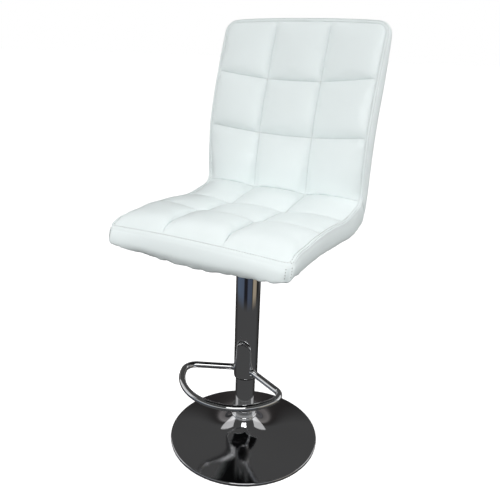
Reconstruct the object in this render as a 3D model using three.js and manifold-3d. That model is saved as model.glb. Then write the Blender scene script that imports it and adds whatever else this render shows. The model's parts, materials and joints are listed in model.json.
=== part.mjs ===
// Adjustable swivel stool: a padded seat and back on a gas spring, over a trumpet base.
// Millimetres, +Z up. The origin is on the floor under the column, and the seat faces -Y.
import * as THREE from "three";
import { mergeVertices } from "three/addons/utils/BufferGeometryUtils.js";
import Module from "manifold-3d";

const wasm = await Module();
wasm.setup();

// ---- driving dimensions ----
const GAP = 0.3; // between two pieces that touch
const RUN = 0.4; // radial clearance of a turning or sliding fit

const BASE = { radius: 192.5, sheet: 1.8, lip: 5, rimTop: 8, slope: 0.15, neck: 31, neckTop: 66 };
const FLARE = { height: 32.5, fade: 22 }; // the neck's rise, and how fast it dies away outwards
const GASKET = { height: 3, width: 7 };
const BALLAST = { inner: 30, outer: 150, low: GASKET.height, thick: 5.5 };
const COLUMN = { radius: 25, wall: 1.8, low: 12, top: 503, floor: 3, taper: 0.6 };
const HUB = { wall: 3.2, low: BALLAST.low + BALLAST.thick + GAP };
const COLLAR = { radius: 33, low: BASE.neckTop + 1.3, high: 93 };
const ROD = { radius: 5, low: 5, high: 312 };
const RACE = { inner: 6, outer: 16, thick: 2 };
const BALLS = { count: 8, radius: 2.2, pitch: 11.5, cage: 3.2 };
const CYLINDER = { radius: 14, wall: 1.8, low: 50, high: 545, shoulder: 508, tip: 13.1, cap: 9 };
const BUSH = { low: 385, flange: 3 };
const PISTON = { low: 296, thick: 14 };
const GLAND = { thick: 20 };
const VALVE = { radius: 3, point: 0.8, low: 530, high: 551.5 };
const SLEEVE = { radius: 30, wall: 1.6, low: 186, high: 511, disc: 3 };
const GUIDE = { height: 16, lip: 2 };
const FOOTREST = { tube: 8, height: 204.5, bow: 135, bowCentre: -45, corner: 30, armAngle: 25 };
const SOCKET = { radius: 21, low: 512, high: 544 };
const HOUSING = { left: -40, right: 30, half: 26, low: 540, sheet: 2.5 };
const PLATE = { width: 200, depth: 150, thick: 2.5, top: 570.9, corner: 12, tilt: -3.4 };
const BOLT = { radius: 3, hole: 3.5, x: 72, y: 55, head: 5.8, headThick: 4, length: 22 };
const NUT = { flange: 9.5, flangeThick: 1.6, barrel: 4.4, length: 8 };
const LEVER = { pivotX: -24, height: 556, rod: 4, barrel: 6, barrelHalf: 15, inner: 8 };
const LEVER_BENDS = [[-34, 556], [-100, 536], [-168, 531]]; // (x, z) where the rod turns
const GRIP = { radius: 7.5, from: -138, to: -196 };
const PIVOT = { radius: 2.5 };
const SEAT = { half: 213, skin: 2.2, front: -251, top: 1042, topCorner: 28, frontCorner: 12 };

// Side view of the upholstery as stations: [face y, face z, rear y, rear z], front edge to top edge.
const STATIONS = [
  [-262, 597, -262, 566],
  [-200, 613, -200, 573],
  [-150, 621, -150, 579],
  [-92, 626, -95, 578],
  [-22, 622, -25, 573.7],
  [48, 616.5, 45, 569.5],
  [108, 624, 122, 566],
  [147, 646, 184, 590],
  [153, 695, 199, 655],
  [160, 777, 211, 777],
  [192, 905, 243, 900],
  [228, 1010, 256.5, 1010],
  [246, 1060, 261, 1060],
];
const FOLD = { seat: 6.97, back: 7.03 }; // stations where the seat's pieces end and the back's begin
// Layers across the thickness: 0 is the seam line of the face and 1 is the rear.
const LAYERS = { pad: [-0.19, 0.05], foam: [0.06, 0.73], board: [0.74, 0.94], cover: [0.955, 1] };

// ---- materials ----
const material = (color, roughness, metalness) =>
  new THREE.MeshStandardMaterial({ color, roughness, metalness });
const CHROME = material(0xb9bcbf, 0.08, 1);
const STEEL = material(0x9a9c9e, 0.4, 1);
const BLACK_STEEL = material(0x1c1d1f, 0.45, 0.6);
const PLASTIC = material(0x141415, 0.5, 0);
const RUBBER = material(0x101010, 0.85, 0);
const LEATHER = material(0xe6ecec, 0.45, 0);
const FOAM = material(0xe9dfb0, 0.95, 0);
const PLYWOOD = material(0xc79a63, 0.7, 0);
const LINING = material(0x17181a, 0.95, 0);

// ---- solids ----
const stool = new THREE.Group();

function add(name, geometry, look) {
  const mesh = new THREE.Mesh(geometry, look);
  mesh.name = name;
  stool.add(mesh);
  return mesh;
}

// Turns a geometry whose faces point inwards inside out, by its signed volume.
function facingOut(geometry) {
  const g = geometry.index ? geometry.toNonIndexed() : geometry;
  const p = g.attributes.position;
  const [a, b, c] = [new THREE.Vector3(), new THREE.Vector3(), new THREE.Vector3()];
  let volume = 0;
  for (let i = 0; i < p.count; i += 3) {
    a.fromBufferAttribute(p, i);
    b.fromBufferAttribute(p, i + 1);
    c.fromBufferAttribute(p, i + 2);
    volume += a.dot(b.cross(c));
  }
  if (volume >= 0) return g;
  for (let i = 0; i < p.count; i += 3) {
    a.fromBufferAttribute(p, i + 1);
    b.fromBufferAttribute(p, i + 2);
    p.setXYZ(i + 1, b.x, b.y, b.z);
    p.setXYZ(i + 2, a.x, a.y, a.z);
  }
  return g;
}

// A body turned about Z from (radius, height) points. A ring's outline is closed on itself.
function turned(points, { ring = false, segments = 24 } = {}) {
  const outline = points.map(([r, z]) => new THREE.Vector2(r, z));
  if (ring) outline.push(outline[0].clone());
  return facingOut(new THREE.LatheGeometry(outline, segments).rotateX(Math.PI / 2));
}

function tube(outer, inner, low, high, segments = 24) {
  const corners = [[inner, low], [outer, low], [outer, high], [inner, high]];
  return turned(corners, { ring: true, segments });
}

function box(x0, x1, y0, y1, z0, z1) {
  return new THREE.BoxGeometry(x1 - x0, y1 - y0, z1 - z0)
    .translate((x0 + x1) / 2, (y0 + y1) / 2, (z0 + z1) / 2);
}

// A cylinder along Z, Y or X, from its middle.
function rod(radius, length, axis = "z", segments = 24) {
  const g = new THREE.CylinderGeometry(radius, radius, length, segments);
  if (axis === "z") g.rotateX(Math.PI / 2);
  if (axis === "x") g.rotateZ(Math.PI / 2);
  return g;
}

function solid(geometry) {
  const bare = new THREE.BufferGeometry().setAttribute("position", geometry.attributes.position);
  if (geometry.index) bare.setIndex(geometry.index);
  const g = mergeVertices(bare, 1e-4);
  const mesh = new wasm.Mesh({
    numProp: 3,
    vertProperties: g.attributes.position.array,
    triVerts: new Uint32Array(g.index.array),
  });
  return new wasm.Manifold(mesh);
}

function geometryOf(body) {
  const mesh = body.getMesh();
  return new THREE.BufferGeometry()
    .setAttribute("position", new THREE.BufferAttribute(mesh.vertProperties, 3))
    .setIndex(new THREE.BufferAttribute(mesh.triVerts, 1));
}

// Extrudes a closed outline of [a, b] points: "x" reads them as (y, z), "y" as (x, z), "z" as (x, y).
function prism(points, axis, from, to) {
  const shape = new THREE.Shape(points.map(([a, b]) => new THREE.Vector2(a, b)));
  const g = new THREE.ExtrudeGeometry(shape, { depth: to - from, bevelEnabled: false });
  g.translate(0, 0, from);
  const [X, Y, Z] = [new THREE.Vector3(1, 0, 0), new THREE.Vector3(0, 1, 0), new THREE.Vector3(0, 0, 1)];
  const frames = { x: [Y, Z, X], y: [X, Z, Y], z: [X, Y, Z] };
  return facingOut(g.applyMatrix4(new THREE.Matrix4().makeBasis(...frames[axis])));
}

function arc(cx, cy, radius, from, to, steps) {
  return Array.from({ length: steps + 1 }, (_, i) => {
    const a = THREE.MathUtils.degToRad(from + ((to - from) * i) / steps);
    return [cx + radius * Math.cos(a), cy + radius * Math.sin(a)];
  });
}

// ---- base ----
const flareRise = (r) => FLARE.height * Math.exp((BASE.neck - r) / FLARE.fade);
const domeHeight = (r) => BASE.rimTop + BASE.slope * (BASE.radius - r) + flareRise(r);
const domeSlope = (r) => -BASE.slope - flareRise(r) / FLARE.fade;

function baseDish() {
  const edge = BASE.radius - BASE.lip / 2;
  const radii = Array.from({ length: 10 }, (_, i) => BASE.neck + (edge - BASE.neck) * (i / 9) ** 1.7);
  const top = radii.map((r) => [r, domeHeight(r)]);
  const under = radii.map((r) => {
    const k = BASE.sheet / Math.hypot(1, domeSlope(r));
    return [r + domeSlope(r) * k, domeHeight(r) - k];
  });
  const lip = [
    [BASE.radius, BASE.rimTop - 1.5],
    [BASE.radius, GASKET.height + GAP],
    [BASE.radius - BASE.sheet, GASKET.height + GAP],
    [BASE.radius - BASE.sheet, BASE.rimTop - 2.2],
  ];
  const throat = [under[0][0], BASE.neckTop];
  return turned([[BASE.neck, BASE.neckTop], ...top, ...lip, ...under.reverse(), throat], {
    ring: true,
    segments: 56,
  });
}

add("base_dish", baseDish(), CHROME);
add("rim_gasket", tube(BASE.radius - 0.5, BASE.radius - GASKET.width, 0, GASKET.height, 56), RUBBER);
add(
  "ballast_plate",
  tube(BALLAST.outer, BALLAST.inner, BALLAST.low, BALLAST.low + BALLAST.thick, 48),
  BLACK_STEEL,
);

// The column's foot and the hub around it share one slow taper.
const footRadius = (z) =>
  COLUMN.radius - COLUMN.taper * Math.max(0, (BASE.neckTop - z) / (BASE.neckTop - COLUMN.low));
const hubOuter = COLUMN.radius + GAP + HUB.wall;
add(
  "base_hub",
  turned(
    [
      [footRadius(HUB.low) + GAP, HUB.low],
      [hubOuter + 14, HUB.low],
      [hubOuter + 14, HUB.low + 3],
      [hubOuter, HUB.low + 6],
      [hubOuter, BASE.neckTop - 8],
      [COLUMN.radius + GAP + 1.2, BASE.neckTop],
      [COLUMN.radius + GAP, BASE.neckTop],
    ],
    { ring: true, segments: 40 },
  ),
  STEEL,
);
add(
  "column_collar",
  turned(
    [
      [COLUMN.radius + GAP, COLLAR.low],
      [COLLAR.radius, COLLAR.low],
      [COLLAR.radius, COLLAR.low + 3],
      [COLLAR.radius - 1.5, COLLAR.low + 5],
      [COLLAR.radius - 1.5, COLLAR.high - 5],
      [COLLAR.radius, COLLAR.high - 3],
      [COLLAR.radius - 1, COLLAR.high],
      [COLUMN.radius + GAP, COLLAR.high],
    ],
    { ring: true, segments: 40 },
  ),
  CHROME,
);

// ---- gas spring ----
const columnInner = COLUMN.radius - COLUMN.wall;
add(
  "column_tube",
  turned(
    [
      [ROD.radius + 0.6, COLUMN.low],
      [footRadius(COLUMN.low), COLUMN.low],
      [COLUMN.radius, BASE.neckTop],
      [COLUMN.radius, COLUMN.top],
      [columnInner, COLUMN.top],
      [columnInner, COLUMN.low + COLUMN.floor],
      [ROD.radius + 0.6, COLUMN.low + COLUMN.floor],
    ],
    { ring: true, segments: 48 },
  ),
  CHROME,
);
add(
  "guide_bush",
  turned(
    [
      [CYLINDER.radius + RUN, BUSH.low],
      [columnInner - GAP, BUSH.low],
      [columnInner - GAP, COLUMN.top + GAP],
      [COLUMN.radius, COLUMN.top + GAP],
      [COLUMN.radius, COLUMN.top + GAP + BUSH.flange],
      [CYLINDER.radius + RUN, COLUMN.top + GAP + BUSH.flange],
    ],
    { ring: true, segments: 40 },
  ),
  PLASTIC,
);

const lowerRace = COLUMN.low + COLUMN.floor + GAP;
const cageLow = lowerRace + RACE.thick + GAP;
const upperRace = cageLow + 2 * BALLS.radius + GAP;
const bumpLow = upperRace + RACE.thick + GAP;
add("lower_race", tube(RACE.outer, RACE.inner, lowerRace, lowerRace + RACE.thick), STEEL);
add("upper_race", tube(RACE.outer, RACE.inner, upperRace, upperRace + RACE.thick), STEEL);

function ballCage() {
  const middle = cageLow + BALLS.radius;
  const halfCage = BALLS.cage / 2;
  let body = solid(tube(RACE.outer - 1, RACE.inner + 1.5, middle - halfCage, middle + halfCage));
  for (let i = 0; i < BALLS.count; i++) {
    const a = (2 * Math.PI * i) / BALLS.count;
    const ball = new THREE.SphereGeometry(BALLS.radius, 8, 6);
    ball.translate(BALLS.pitch * Math.cos(a), BALLS.pitch * Math.sin(a), middle);
    body = body.add(solid(ball));
  }
  return geometryOf(body);
}
add("ball_cage", ballCage(), STEEL);

add(
  "bump_stop",
  turned(
    [
      [ROD.radius + GAP, bumpLow],
      [13, bumpLow],
      [10, bumpLow + 10],
      [13, bumpLow + 18],
      [12, CYLINDER.low - GAP],
      [ROD.radius + GAP, CYLINDER.low - GAP],
    ],
    { ring: true },
  ),
  RUBBER,
);

// The rod has a groove at its foot, where the clip holds it under the column's floor.
const groove = { low: COLUMN.low - GAP - 1.8, high: COLUMN.low - GAP, radius: 3.8 };
add(
  "piston_rod",
  turned(
    [
      [0, ROD.low],
      [ROD.radius - 0.8, ROD.low],
      [ROD.radius, ROD.low + 1],
      [ROD.radius, groove.low],
      [groove.radius, groove.low],
      [groove.radius, groove.high],
      [ROD.radius, groove.high],
      [ROD.radius, ROD.high],
      [0, ROD.high],
    ],
    { segments: 24 },
  ),
  STEEL,
);

function rodClip() {
  const ring = solid(tube(11, groove.radius + GAP, groove.low + GAP / 2, groove.high - GAP / 2, 24));
  const width = groove.radius + GAP;
  return geometryOf(ring.subtract(solid(box(-width, width, 0, 20, 0, 20))));
}
add("rod_clip", rodClip(), STEEL);

add(
  "piston_head",
  tube(CYLINDER.radius - CYLINDER.wall - RUN, ROD.radius + GAP, PISTON.low, PISTON.low + PISTON.thick),
  STEEL,
);
add(
  "rod_gland",
  tube(
    CYLINDER.radius - CYLINDER.wall - GAP,
    ROD.radius + RUN,
    CYLINDER.low + 1,
    CYLINDER.low + 1 + GLAND.thick,
  ),
  PLASTIC,
);

const bore = CYLINDER.radius - CYLINDER.wall;
add(
  "gas_cylinder",
  turned(
    [
      [bore, CYLINDER.low],
      [CYLINDER.radius, CYLINDER.low],
      [CYLINDER.radius, CYLINDER.shoulder],
      [CYLINDER.tip, CYLINDER.high - 1],
      [CYLINDER.tip - 1, CYLINDER.high],
      [VALVE.radius + RUN, CYLINDER.high],
      [VALVE.radius + RUN, CYLINDER.high - CYLINDER.cap],
      [CYLINDER.tip - 3, CYLINDER.high - CYLINDER.cap],
      [bore, CYLINDER.shoulder - 6],
    ],
    { ring: true, segments: 32 },
  ),
  BLACK_STEEL,
);
add(
  "valve_pin",
  turned(
    [
      [0, VALVE.low],
      [VALVE.radius + 1.5, VALVE.low],
      [VALVE.radius + 1.5, VALVE.low + 1.5],
      [VALVE.radius, VALVE.low + 2.5],
      [VALVE.radius, VALVE.high - 2.5],
      [VALVE.point, VALVE.high],
      [0, VALVE.high],
    ],
    { segments: 20 },
  ),
  STEEL,
);

// ---- sleeve and footrest ----
const sleeveInner = SLEEVE.radius - SLEEVE.wall;
add(
  "sleeve_tube",
  tube(SLEEVE.radius, sleeveInner, SLEEVE.low, SLEEVE.high - SLEEVE.disc - GAP, 56),
  CHROME,
);
add(
  "sleeve_top_disc",
  tube(SLEEVE.radius, CYLINDER.radius + GAP, SLEEVE.high - SLEEVE.disc, SLEEVE.high, 48),
  CHROME,
);
add(
  "sleeve_guide_ring",
  turned(
    [
      [COLUMN.radius + RUN, SLEEVE.low - GAP - GUIDE.lip],
      [SLEEVE.radius - 0.6, SLEEVE.low - GAP - GUIDE.lip],
      [SLEEVE.radius - 0.6, SLEEVE.low - GAP],
      [sleeveInner - GAP, SLEEVE.low - GAP],
      [sleeveInner - GAP, SLEEVE.low + GUIDE.height],
      [COLUMN.radius + RUN, SLEEVE.low + GUIDE.height],
    ],
    { ring: true, segments: 48 },
  ),
  PLASTIC,
);

// Half of the footrest's centreline, from inside the sleeve out along an arm, round a corner of
// radius `corner` and along the front bow, which is an arc about (0, bowCentre).
function footrestHalf() {
  const arm = THREE.MathUtils.degToRad(FOOTREST.armAngle);
  const inward = new THREE.Vector2(-Math.sin(arm), -Math.cos(arm));
  const along = new THREE.Vector2(Math.cos(arm), -Math.sin(arm));
  // The corner's centre is `corner` in front of the arm's line and (bow - corner) from the bow's centre.
  const offset = inward.clone().multiplyScalar(FOOTREST.corner);
  const toBow = new THREE.Vector2(0, FOOTREST.bowCentre);
  const reach = FOOTREST.bow - FOOTREST.corner;
  const q = offset.clone().sub(toBow);
  const b = q.dot(along);
  const run = -b + Math.sqrt(b * b - q.lengthSq() + reach * reach);
  const centre = along.clone().multiplyScalar(run).add(offset);
  const bend = centre.clone().sub(toBow).angle() * THREE.MathUtils.RAD2DEG - 360;
  const start = along.clone().multiplyScalar(SLEEVE.radius - 8);
  const corner = arc(centre.x, centre.y, FOOTREST.corner, 90 - FOOTREST.armAngle, bend, 7);
  const front = arc(0, FOOTREST.bowCentre, FOOTREST.bow, bend, -90, 9).slice(1);
  const middle = along.clone().multiplyScalar(run * 0.5);
  return [[start.x, start.y], [middle.x, middle.y], ...corner, ...front];
}

function footrestLoop() {
  const right = footrestHalf();
  const left = right.slice(0, -1).map(([x, y]) => [-x, y]).reverse();
  const path = new THREE.CatmullRomCurve3(
    [...right, ...left].map(([x, y]) => new THREE.Vector3(x, y, FOOTREST.height)),
    false,
    "centripetal",
  );
  const section = new THREE.Shape(
    arc(0, 0, FOOTREST.tube, 0, 330, 11).map(([x, y]) => new THREE.Vector2(x, y)),
  );
  const loop = new THREE.ExtrudeGeometry(section, { steps: 64, extrudePath: path });
  const clear = rod(SLEEVE.radius + GAP, 60, "z", 56).translate(0, 0, FOOTREST.height);
  return geometryOf(solid(facingOut(loop)).subtract(solid(clear)));
}
add("footrest_loop", footrestLoop(), CHROME);

// ---- mechanism under the seat ----
const tilt = THREE.MathUtils.degToRad(PLATE.tilt);
// Places a piece that was drawn with z = 0 at the mounting plate's top face.
const onPlate = (geometry) => geometry.rotateX(tilt).translate(0, 0, PLATE.top);
const boltPlaces = [[1, 1], [-1, 1], [-1, -1], [1, -1]].map(([i, j]) => [i * BOLT.x, j * BOLT.y]);

function roundedRectangle(halfX, halfY, radius) {
  const [cx, cy] = [halfX - radius, halfY - radius];
  return [
    ...arc(cx, cy, radius, 0, 90, 4),
    ...arc(-cx, cy, radius, 90, 180, 4),
    ...arc(-cx, -cy, radius, 180, 270, 4),
    ...arc(cx, -cy, radius, 270, 360, 4),
  ];
}

function seatPlate() {
  const outline = roundedRectangle(PLATE.width / 2, PLATE.depth / 2, PLATE.corner);
  let body = solid(prism(outline, "z", -PLATE.thick, 0));
  for (const [x, y] of boltPlaces)
    body = body.subtract(solid(rod(BOLT.hole, 20, "z", 16).translate(x, y, 0)));
  return onPlate(geometryOf(body));
}
add("seat_plate", seatPlate(), BLACK_STEEL);

function mechanismHousing() {
  const { left, right, half, low, sheet } = HOUSING;
  const tall = PLATE.top + 10;
  const hollow = solid(box(left - 1, right - sheet, -half + sheet, half - sheet, low + sheet, tall + 1));
  const overhead = solid(onPlate(box(-200, 200, -200, 200, -PLATE.thick - GAP, 50)));
  const socketHole = solid(rod(SOCKET.radius + GAP, 40, "z", 32).translate(0, 0, low));
  const pinHole = solid(rod(PIVOT.radius + GAP, 80, "y", 16).translate(LEVER.pivotX, 0, LEVER.height));
  return geometryOf(
    solid(box(left, right, -half, half, low, tall))
      .subtract(hollow).subtract(overhead).subtract(socketHole).subtract(pinHole),
  );
}
add("mechanism_housing", mechanismHousing(), BLACK_STEEL);

// The socket's taper follows the gas cylinder's cone.
const cone = (z) =>
  CYLINDER.radius +
  ((CYLINDER.tip - CYLINDER.radius) * (z - CYLINDER.shoulder)) / (CYLINDER.high - 1 - CYLINDER.shoulder);
add(
  "taper_socket",
  turned(
    [
      [cone(SOCKET.low) + GAP, SOCKET.low],
      [SOCKET.radius - 1.5, SOCKET.low],
      [SOCKET.radius, SOCKET.low + 1.5],
      [SOCKET.radius, SOCKET.high],
      [CYLINDER.tip + GAP, SOCKET.high],
    ],
    { ring: true, segments: 40 },
  ),
  BLACK_STEEL,
);

const pivotEnd = HOUSING.half + 3;
function leverPivotPin() {
  const shank = solid(rod(PIVOT.radius, 2 * pivotEnd, "y", 16));
  const head = solid(rod(PIVOT.radius + 2, 2, "y", 16).translate(0, -pivotEnd + 1, 0));
  return geometryOf(shank.add(head).translate([LEVER.pivotX, 0, LEVER.height]));
}
add("lever_pivot_pin", leverPivotPin(), STEEL);

function leverRod() {
  const bends = LEVER_BENDS.map(([x, z]) => new THREE.Vector3(x, 0, z));
  const grip = new THREE.Vector3(GRIP.to + 4, 0, bends[2].z - 1.5);
  const path = new THREE.CatmullRomCurve3(
    [new THREE.Vector3(LEVER.inner, 0, LEVER.height), ...bends, grip],
    false,
    "centripetal",
  );
  const section = new THREE.Shape(
    arc(0, 0, LEVER.rod, 0, 330, 11).map(([x, y]) => new THREE.Vector2(x, y)),
  );
  const shank = new THREE.ExtrudeGeometry(section, { steps: 26, extrudePath: path });
  const barrel = rod(LEVER.barrel, 2 * LEVER.barrelHalf, "y").translate(LEVER.pivotX, 0, LEVER.height);
  const pin = rod(PIVOT.radius + RUN, 60, "y", 16).translate(LEVER.pivotX, 0, LEVER.height);
  return geometryOf(solid(facingOut(shank)).add(solid(barrel)).subtract(solid(pin)));
}
const lever = add("lever_rod", leverRod(), CHROME);

function leverGrip() {
  const middle = (GRIP.from + GRIP.to) / 2;
  const length = GRIP.from - GRIP.to;
  const [, , bend] = LEVER_BENDS;
  const body = solid(rod(GRIP.radius, length, "x", 20)).scale([1, 1.2, 0.8]);
  const tip = solid(new THREE.SphereGeometry(GRIP.radius, 20, 10).scale(0.8, 1.2, 0.8));
  const whole = body.add(tip.translate([-length / 2, 0, 0])).translate([middle, 0, bend[1] + 0.3]);
  const wider = solid(rod(LEVER.rod + 1.2, length + 1, "x", 16));
  const hole = wider.translate([middle + 5, 0, bend[1] + 0.3]);
  return geometryOf(whole.subtract(hole).subtract(solid(lever.geometry)));
}
add("lever_grip", leverGrip(), PLASTIC);

function seatBolt([x, y]) {
  const low = -PLATE.thick - GAP - BOLT.headThick;
  const head = solid(rod(BOLT.head, BOLT.headThick, "z", 6)).translate([0, 0, low + BOLT.headThick / 2]);
  const shank = solid(rod(BOLT.radius, BOLT.length, "z", 16)).translate([0, 0, low + BOLT.length / 2]);
  return onPlate(geometryOf(head.add(shank).translate([x, y, 0])));
}
boltPlaces.forEach((place, i) => add(`seat_bolt_${i + 1}`, seatBolt(place), STEEL));

// ---- upholstery ----
// The face (side 0) and rear (side 1) lines are smooth curves through the stations.
const lines = [0, 2].map((k) =>
  new THREE.SplineCurve(STATIONS.map((s) => new THREE.Vector2(s[k], s[k + 1]))));

// A point at station u and depth t, where t is 0 on the face line and 1 on the rear line.
function at(u, t) {
  const [face, rear] = lines.map((line) => line.getPoint(u / LAST));
  return [face.x + (rear.x - face.x) * t, face.y + (rear.y - face.y) * t];
}

// Every slab bends at the same stations, so that neighbouring layers stay parallel.
const LAST = STATIONS.length - 1;
const bends = [...Array.from({ length: LAST * 2.5 }, (_, i) => i / 2.5), FOLD.seat, FOLD.back];
bends.sort((a, b) => a - b);

// A slab across the width between two depths, from one station to another.
function slab([near, far], from, to, half) {
  const stations = [from, ...bends.filter((u) => u > from && u < to), to];
  const outline = [...stations.map((u) => at(u, near)), ...stations.reverse().map((u) => at(u, far))];
  return solid(prism(outline, "x", -half, half));
}

// Cuts a slab to the stool's outline, drawn in by `inset`: rounded at the top and at the front.
function trimmed(body, inset) {
  const half = SEAT.half - inset;
  const top = SEAT.top - inset;
  const front = SEAT.front + inset;
  const round = SEAT.topCorner - inset;
  const nose = SEAT.frontCorner - inset;
  const frontView = [
    [half, 500],
    ...arc(half - round, top - round, round, 0, 90, 8),
    ...arc(-half + round, top - round, round, 90, 180, 8),
    [-half, 500],
  ];
  const plan = [
    [-half, 300],
    ...arc(-half + nose, front + nose, nose, 180, 270, 5),
    ...arc(half - nose, front + nose, nose, 270, 360, 5),
    [half, 300],
  ];
  return body
    .intersect(solid(prism(frontView, "y", -300, 300)))
    .intersect(solid(prism(plan, "z", 500, 1100)));
}

const skinned = SEAT.skin + GAP;
const boltDrill = (radius, low, high) =>
  boltPlaces
    .map(([x, y]) => solid(onPlate(rod(radius, high - low, "z", 16).translate(x, y, (low + high) / 2))))
    .reduce((all, next) => all.add(next));

const boardBody = trimmed(slab(LAYERS.board, 0, LAST, SEAT.half), skinned + 1);
add("shell_board", geometryOf(boardBody.subtract(boltDrill(NUT.barrel + GAP, -5, 25))), PLYWOOD);

// Each nut's flange lies just over the board, whose top is about this high over the plate.
const nutSeat = 14.4;
function teeNut([x, y]) {
  const flange = solid(rod(NUT.flange, NUT.flangeThick, "z", 20));
  const barrel = solid(rod(NUT.barrel, NUT.length, "z", 16)).translate([0, 0, -NUT.length / 2]);
  const body = flange.add(barrel).subtract(solid(rod(BOLT.radius + GAP, 40, "z", 16)));
  return onPlate(geometryOf(body.translate([x, y, nutSeat + NUT.flangeThick / 2])));
}
boltPlaces.forEach((place, i) => add(`tee_nut_${i + 1}`, teeNut(place), STEEL));

const foamSeat = trimmed(slab(LAYERS.foam, 0, FOLD.seat, SEAT.half), skinned);
const foamBack = trimmed(slab(LAYERS.foam, FOLD.back, LAST, SEAT.half), skinned);
add("foam_seat", geometryOf(foamSeat.subtract(boltDrill(NUT.flange + 1, 10, 20))), FOAM);
add("foam_back", geometryOf(foamBack), FOAM);
add("quilted_panel", geometryOf(trimmed(slab(LAYERS.pad, 0, LAST, SEAT.half), 6)), LEATHER);

const dustCover = trimmed(slab(LAYERS.cover, 0, FOLD.seat, SEAT.half), skinned);
add("dust_cover", geometryOf(dustCover.subtract(boltDrill(BOLT.hole + 1, -5, 5))), LINING);
add("rear_cover", geometryOf(trimmed(slab(LAYERS.cover, FOLD.back, LAST, SEAT.half), skinned)), LEATHER);

// The bands are one skin round the edge, parted at the fold and at the front corners.
const shell = trimmed(slab([0.055, 1], 0, LAST, SEAT.half), 0);
const band = shell.subtract(trimmed(slab([-1, 2], 0, LAST, SEAT.half + 10), SEAT.skin));
const seatRegion = slab([-1.5, 2.5], 0, FOLD.seat, 300);
const backRegion = slab([-1.5, 2.5], FOLD.back, LAST, 300);
const cornerX = SEAT.half - SEAT.frontCorner;
const across = (from, to) => solid(box(from, to, -300, 300, 500, 1100));
const nose = solid(box(-cornerX, cornerX, SEAT.front - 5, SEAT.front + SEAT.frontCorner, 500, 700));
add("front_band", geometryOf(band.intersect(nose)), LEATHER);
const sideBand = (from, to) => geometryOf(band.intersect(seatRegion).intersect(across(from, to)));
add("seat_band_right", sideBand(-300, -cornerX - GAP), LEATHER);
add("seat_band_left", sideBand(cornerX + GAP, 300), LEATHER);
add("back_band", geometryOf(band.intersect(backRegion)), LEATHER);

export default stool;
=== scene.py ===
import json
import math

import bpy
from mathutils import Matrix, Vector, noise

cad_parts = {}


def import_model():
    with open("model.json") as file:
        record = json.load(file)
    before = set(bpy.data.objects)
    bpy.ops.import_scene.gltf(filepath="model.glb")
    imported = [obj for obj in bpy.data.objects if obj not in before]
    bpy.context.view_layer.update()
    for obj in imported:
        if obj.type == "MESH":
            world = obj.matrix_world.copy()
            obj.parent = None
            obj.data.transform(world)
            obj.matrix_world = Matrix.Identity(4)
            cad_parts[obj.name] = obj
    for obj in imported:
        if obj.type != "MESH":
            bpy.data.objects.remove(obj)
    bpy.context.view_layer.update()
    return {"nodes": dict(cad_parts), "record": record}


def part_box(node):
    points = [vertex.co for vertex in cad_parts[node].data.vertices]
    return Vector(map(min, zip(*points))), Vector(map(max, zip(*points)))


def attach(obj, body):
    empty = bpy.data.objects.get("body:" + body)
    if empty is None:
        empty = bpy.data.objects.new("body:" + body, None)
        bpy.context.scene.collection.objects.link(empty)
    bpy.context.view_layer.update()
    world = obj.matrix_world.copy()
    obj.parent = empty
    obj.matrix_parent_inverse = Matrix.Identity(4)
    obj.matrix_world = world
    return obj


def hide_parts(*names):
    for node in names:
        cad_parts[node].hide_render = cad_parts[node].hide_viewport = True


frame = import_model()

# ---- driving dimensions ----
CAMERA_PLACE = (0.5817, -1.0892, 0.9633)
CAMERA_AZIMUTH = 28.06  # degrees, turned from looking along +Y
CAMERA_DOWN = 19.64
CAMERA_ROLL = 1.9
LENS = 40.0  # mm, on a 36 mm sensor

HALF = 0.2050  # half the width between the side seams
CHANNEL = 0.0708  # where the two lengthwise channels run
ROWS = 6  # the path runs from 0 at the front edge to 6 at the top edge
FOLD = 3  # where seat and back meet
TOP_ROUND = 0.022
FRONT_ROUND = 0.009
# Side view at every half row: (y, z) of the face at the side seam, and of the rear edge.
FACE = [
    (-0.2325, 0.6070), (-0.1580, 0.6200), (-0.0850, 0.6240), (-0.0200, 0.6225), (0.0447, 0.6171),
    (0.1030, 0.6235), (0.1500, 0.6410), (0.1535, 0.7120), (0.1592, 0.7852), (0.1740, 0.8500),
    (0.1943, 0.9154), (0.2150, 0.9730), (0.2370, 1.0300),
]
REAR = [
    (-0.2430, 0.5732), (-0.1640, 0.5770), (-0.0920, 0.5785), (-0.0240, 0.5738), (0.0450, 0.5695),
    (0.1180, 0.5660), (0.1840, 0.5920), (0.2010, 0.6950), (0.2115, 0.7800), (0.2290, 0.8520),
    (0.2450, 0.9100), (0.2550, 0.9680), (0.2600, 1.0270),
]
# How far each row's line is moved at the lengthwise channels, (y, z): the rows bow.
BOW = [
    (-0.0113, 0.0085), (-0.0117, -0.0032), (-0.0143, -0.0012), (-0.0052, -0.0030), (0.0068, -0.0122),
    (0.0057, -0.0145), (0.0045, 0.0047),
]
REAR_BOW = [(-0.0080, -0.0110), (0, 0), (0, 0), (0, 0), (0.0015, 0), (0.0020, 0), (0.0020, 0.0050)]
# The seams rise between their crossings: on each row line, and on the channels by row of pads.
LINE_RISE = [0, 0.006, 0.007, 0.014, 0.003, 0.003, 0]
CHANNEL_RISE = [0.008, 0.004, 0.005, 0.002, 0.002, 0.001]
NOSE = 0.0050  # how much the front half row stands above the curve through its ends
PAD_RISE = [0.0150, 0.0065, 0.0050, 0.0080, 0.0110, 0.0120]  # by row of pads, from the front
PAD_STEPS = 22
STITCH = {"pitch": 0.0056, "length": 0.0036, "radius": 0.00060, "hole": 0.00090}
INFLATION = {"frames": 14, "pressure": 2.5, "cap": 0.0009}  # cap: the furthest a point may move

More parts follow.
